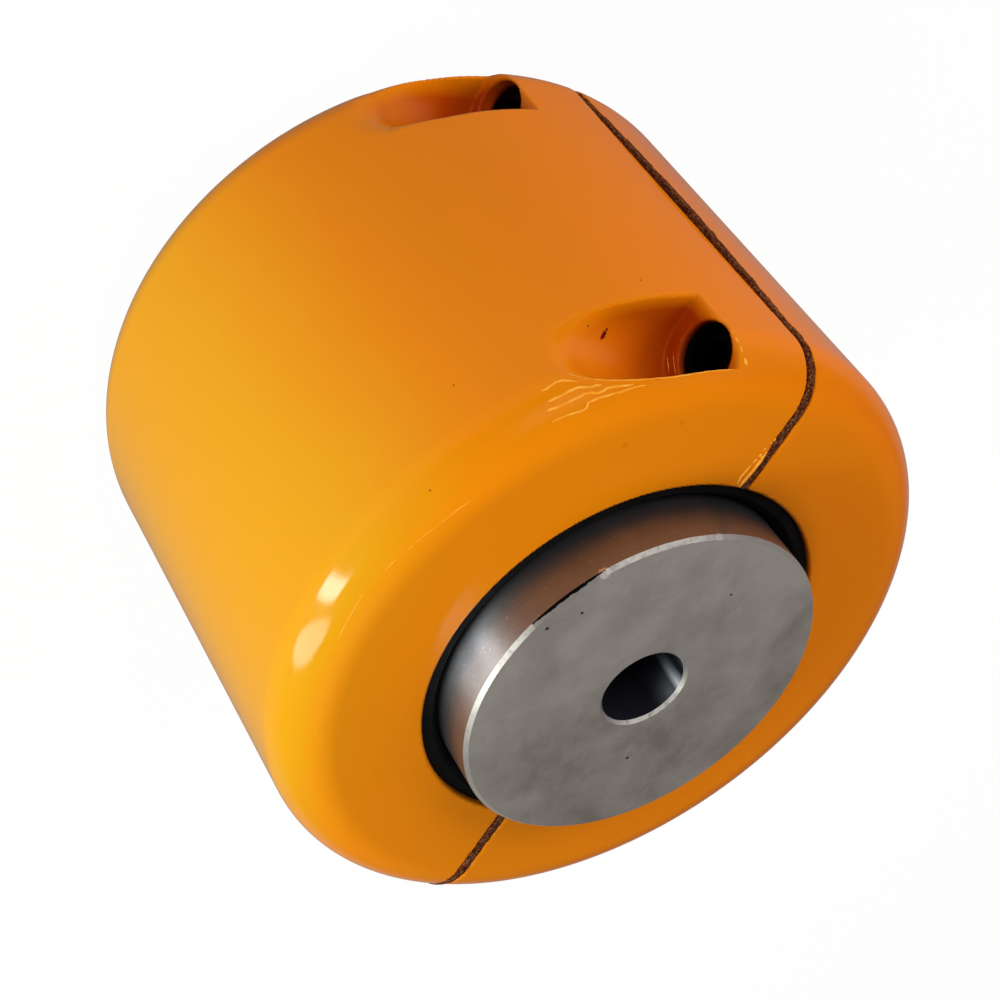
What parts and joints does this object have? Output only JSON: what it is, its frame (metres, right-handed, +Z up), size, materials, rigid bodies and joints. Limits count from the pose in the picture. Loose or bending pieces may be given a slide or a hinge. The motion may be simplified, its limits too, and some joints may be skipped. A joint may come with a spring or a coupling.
{
  "type": "chain coupling",
  "caption": "Flexible shaft coupling: two sprocket hubs joined by a ring of duplex roller chain, inside a split orange case with seals, gaskets and socket screws.",
  "frame": {"origin": "centre of the lower hub's outer face, on which the coupling stands", "axes": "+Z up along the shafts' axis; the case splits in the XZ plane, and -Y is the half that the picture shows"},
  "size_m": [0.1126, 0.111, 0.0997],
  "materials": {
    "enamelled_casting": "cast aluminium under thick gloss orange enamel",
    "gasket_sheet": "brown cork and rubber sheet, grainy, cut edge",
    "seal_rubber": "black nitrile rubber, dull",
    "turned_steel": "turned carbon steel, bare, slightly stained",
    "blackened_steel": "black oxide",
    "chain_steel": "heat treated link plate, greased",
    "roller_steel": "hardened, tumbled, greased",
    "spring_steel": "blued spring steel"
  },
  "bodies": {
    "lower_hub": {"lower_hub": "turned_steel"},
    "upper_hub": {"upper_hub": "turned_steel"},
    "case": {"front_case_half": "enamelled_casting", "rear_case_half": "enamelled_casting", "left_gasket": "gasket_sheet", "right_gasket": "gasket_sheet", "case_screws": "blackened_steel", "lower_seal": "seal_rubber", "upper_seal": "seal_rubber"},
    "chain": {"riveted_pins": "chain_steel", "connecting_pins": "chain_steel", "mid_plates": "chain_steel", "connecting_plate": "chain_steel", "spring_clip": "spring_steel", "lower_outer_plates": "chain_steel", "lower_inner_plates": "chain_steel", "lower_bushes": "chain_steel", "upper_outer_plates": "chain_steel", "upper_inner_plates": "chain_steel", "upper_bushes": "chain_steel"},
    "lower_roller_1": {"lower_roller_1": "roller_steel"},
    "lower_roller_2": {"lower_roller_2": "roller_steel"},
    "lower_roller_3": {"lower_roller_3": "roller_steel"},
    "lower_roller_4": {"lower_roller_4": "roller_steel"},
    "lower_roller_5": {"lower_roller_5": "roller_steel"},
    "lower_roller_6": {"lower_roller_6": "roller_steel"},
    "lower_roller_7": {"lower_roller_7": "roller_steel"},
    "lower_roller_8": {"lower_roller_8": "roller_steel"},
    "lower_roller_9": {"lower_roller_9": "roller_steel"},
    "lower_roller_10": {"lower_roller_10": "roller_steel"},
    "lower_roller_11": {"lower_roller_11": "roller_steel"},
    "lower_roller_12": {"lower_roller_12": "roller_steel"},
    "lower_roller_13": {"lower_roller_13": "roller_steel"},
    "lower_roller_14": {"lower_roller_14": "roller_steel"},
    "lower_roller_15": {"lower_roller_15": "roller_steel"},
    "lower_roller_16": {"lower_roller_16": "roller_steel"},
    "upper_roller_1": {"upper_roller_1": "roller_steel"},
    "upper_roller_2": {"upper_roller_2": "roller_steel"},
    "upper_roller_3": {"upper_roller_3": "roller_steel"},
    "upper_roller_4": {"upper_roller_4": "roller_steel"},
    "upper_roller_5": {"upper_roller_5": "roller_steel"},
    "upper_roller_6": {"upper_roller_6": "roller_steel"},
    "upper_roller_7": {"upper_roller_7": "roller_steel"},
    "upper_roller_8": {"upper_roller_8": "roller_steel"},
    "upper_roller_9": {"upper_roller_9": "roller_steel"},
    "upper_roller_10": {"upper_roller_10": "roller_steel"},
    "upper_roller_11": {"upper_roller_11": "roller_steel"},
    "upper_roller_12": {"upper_roller_12": "roller_steel"},
    "upper_roller_13": {"upper_roller_13": "roller_steel"},
    "upper_roller_14": {"upper_roller_14": "roller_steel"},
    "upper_roller_15": {"upper_roller_15": "roller_steel"},
    "upper_roller_16": {"upper_roller_16": "roller_steel"}
  },
  "joints": [
    {"name": "case_turn", "type": "hinge", "parent": "lower_hub", "child": "case", "pos_m": [0, 0, 0.04985], "axis": [0, 0, 1], "continuous": true},
    {"name": "lower_tooth_play", "type": "hinge", "parent": "lower_hub", "child": "chain", "pos_m": [0, 0, 0.04079], "axis": [0, 0, 1], "range_deg": [-0.25, 0.25]},
    {"name": "upper_tooth_play", "type": "hinge", "parent": "chain", "child": "upper_hub", "pos_m": [0, 0, 0.0589], "axis": [0, 0, 1], "range_deg": [-0.25, 0.25]},
    {"name": "lower_roller_1_spin", "type": "hinge", "parent": "chain", "child": "lower_roller_1", "pos_m": [0.03759, 0.01557, 0.04079], "axis": [0, 0, 1], "continuous": true},
    {"name": "lower_roller_2_spin", "type": "hinge", "parent": "chain", "child": "lower_roller_2", "pos_m": [0.02877, 0.02877, 0.04079], "axis": [0, 0, 1], "continuous": true},
    {"name": "lower_roller_3_spin", "type": "hinge", "parent": "chain", "child": "lower_roller_3", "pos_m": [0.01557, 0.03759, 0.04079], "axis": [0, 0, 1], "continuous": true},
    {"name": "lower_roller_4_spin", "type": "hinge", "parent": "chain", "child": "lower_roller_4", "pos_m": [0, 0.04069, 0.04079], "axis": [0, 0, 1], "continuous": true},
    {"name": "lower_roller_5_spin", "type": "hinge", "parent": "chain", "child": "lower_roller_5", "pos_m": [-0.01557, 0.03759, 0.04079], "axis": [0, 0, 1], "continuous": true},
    {"name": "lower_roller_6_spin", "type": "hinge", "parent": "chain", "child": "lower_roller_6", "pos_m": [-0.02877, 0.02877, 0.04079], "axis": [0, 0, 1], "continuous": true},
    {"name": "lower_roller_7_spin", "type": "hinge", "parent": "chain", "child": "lower_roller_7", "pos_m": [-0.03759, 0.01557, 0.04079], "axis": [0, 0, 1], "continuous": true},
    {"name": "lower_roller_8_spin", "type": "hinge", "parent": "chain", "child": "lower_roller_8", "pos_m": [-0.04069, 0, 0.04079], "axis": [0, 0, 1], "continuous": true},
    {"name": "lower_roller_9_spin", "type": "hinge", "parent": "chain", "child": "lower_roller_9", "pos_m": [-0.03759, -0.01557, 0.04079], "axis": [0, 0, 1], "continuous": true},
    {"name": "lower_roller_10_spin", "type": "hinge", "parent": "chain", "child": "lower_roller_10", "pos_m": [-0.02877, -0.02877, 0.04079], "axis": [0, 0, 1], "continuous": true},
    {"name": "lower_roller_11_spin", "type": "hinge", "parent": "chain", "child": "lower_roller_11", "pos_m": [-0.01557, -0.03759, 0.04079], "axis": [0, 0, 1], "continuous": true},
    {"name": "lower_roller_12_spin", "type": "hinge", "parent": "chain", "child": "lower_roller_12", "pos_m": [0, -0.04069, 0.04079], "axis": [0, 0, 1], "continuous": true},
    {"name": "lower_roller_13_spin", "type": "hinge", "parent": "chain", "child": "lower_roller_13", "pos_m": [0.01557, -0.03759, 0.04079], "axis": [0, 0, 1], "continuous": true},
    {"name": "lower_roller_14_spin", "type": "hinge", "parent": "chain", "child": "lower_roller_14", "pos_m": [0.02877, -0.02877, 0.04079], "axis": [0, 0, 1], "continuous": true},
    {"name": "lower_roller_15_spin", "type": "hinge", "parent": "chain", "child": "lower_roller_15", "pos_m": [0.03759, -0.01557, 0.04079], "axis": [0, 0, 1], "continuous": true},
    {"name": "lower_roller_16_spin", "type": "hinge", "parent": "chain", "child": "lower_roller_16", "pos_m": [0.04069, 0, 0.04079], "axis": [0, 0, 1], "continuous": true},
    {"name": "upper_roller_1_spin", "type": "hinge", "parent": "chain", "child": "upper_roller_1", "pos_m": [0.03759, 0.01557, 0.0589], "axis": [0, 0, 1], "continuous": true},
    {"name": "upper_roller_2_spin", "type": "hinge", "parent": "chain", "child": "upper_roller_2", "pos_m": [0.02877, 0.02877, 0.0589], "axis": [0, 0, 1], "continuous": true},
    {"name": "upper_roller_3_spin", "type": "hinge", "parent": "chain", "child": "upper_roller_3", "pos_m": [0.01557, 0.03759, 0.0589], "axis": [0, 0, 1], "continuous": true},
    {"name": "upper_roller_4_spin", "type": "hinge", "parent": "chain", "child": "upper_roller_4", "pos_m": [0, 0.04069, 0.0589], "axis": [0, 0, 1], "continuous": true},
    {"name": "upper_roller_5_spin", "type": "hinge", "parent": "chain", "child": "upper_roller_5", "pos_m": [-0.01557, 0.03759, 0.0589], "axis": [0, 0, 1], "continuous": true},
    {"name": "upper_roller_6_spin", "type": "hinge", "parent": "chain", "child": "upper_roller_6", "pos_m": [-0.02877, 0.02877, 0.0589], "axis": [0, 0, 1], "continuous": true},
    {"name": "upper_roller_7_spin", "type": "hinge", "parent": "chain", "child": "upper_roller_7", "pos_m": [-0.03759, 0.01557, 0.0589], "axis": [0, 0, 1], "continuous": true},
    {"name": "upper_roller_8_spin", "type": "hinge", "parent": "chain", "child": "upper_roller_8", "pos_m": [-0.04069, 0, 0.0589], "axis": [0, 0, 1], "continuous": true},
    {"name": "upper_roller_9_spin", "type": "hinge", "parent": "chain", "child": "upper_roller_9", "pos_m": [-0.03759, -0.01557, 0.0589], "axis": [0, 0, 1], "continuous": true},
    {"name": "upper_roller_10_spin", "type": "hinge", "parent": "chain", "child": "upper_roller_10", "pos_m": [-0.02877, -0.02877, 0.0589], "axis": [0, 0, 1], "continuous": true},
    {"name": "upper_roller_11_spin", "type": "hinge", "parent": "chain", "child": "upper_roller_11", "pos_m": [-0.01557, -0.03759, 0.0589], "axis": [0, 0, 1], "continuous": true},
    {"name": "upper_roller_12_spin", "type": "hinge", "parent": "chain", "child": "upper_roller_12", "pos_m": [0, -0.04069, 0.0589], "axis": [0, 0, 1], "continuous": true},
    {"name": "upper_roller_13_spin", "type": "hinge", "parent": "chain", "child": "upper_roller_13", "pos_m": [0.01557, -0.03759, 0.0589], "axis": [0, 0, 1], "continuous": true},
    {"name": "upper_roller_14_spin", "type": "hinge", "parent": "chain", "child": "upper_roller_14", "pos_m": [0.02877, -0.02877, 0.0589], "axis": [0, 0, 1], "continuous": true},
    {"name": "upper_roller_15_spin", "type": "hinge", "parent": "chain", "child": "upper_roller_15", "pos_m": [0.03759, -0.01557, 0.0589], "axis": [0, 0, 1], "continuous": true},
    {"name": "upper_roller_16_spin", "type": "hinge", "parent": "chain", "child": "upper_roller_16", "pos_m": [0.04069, 0, 0.0589], "axis": [0, 0, 1], "continuous": true}
  ]
}
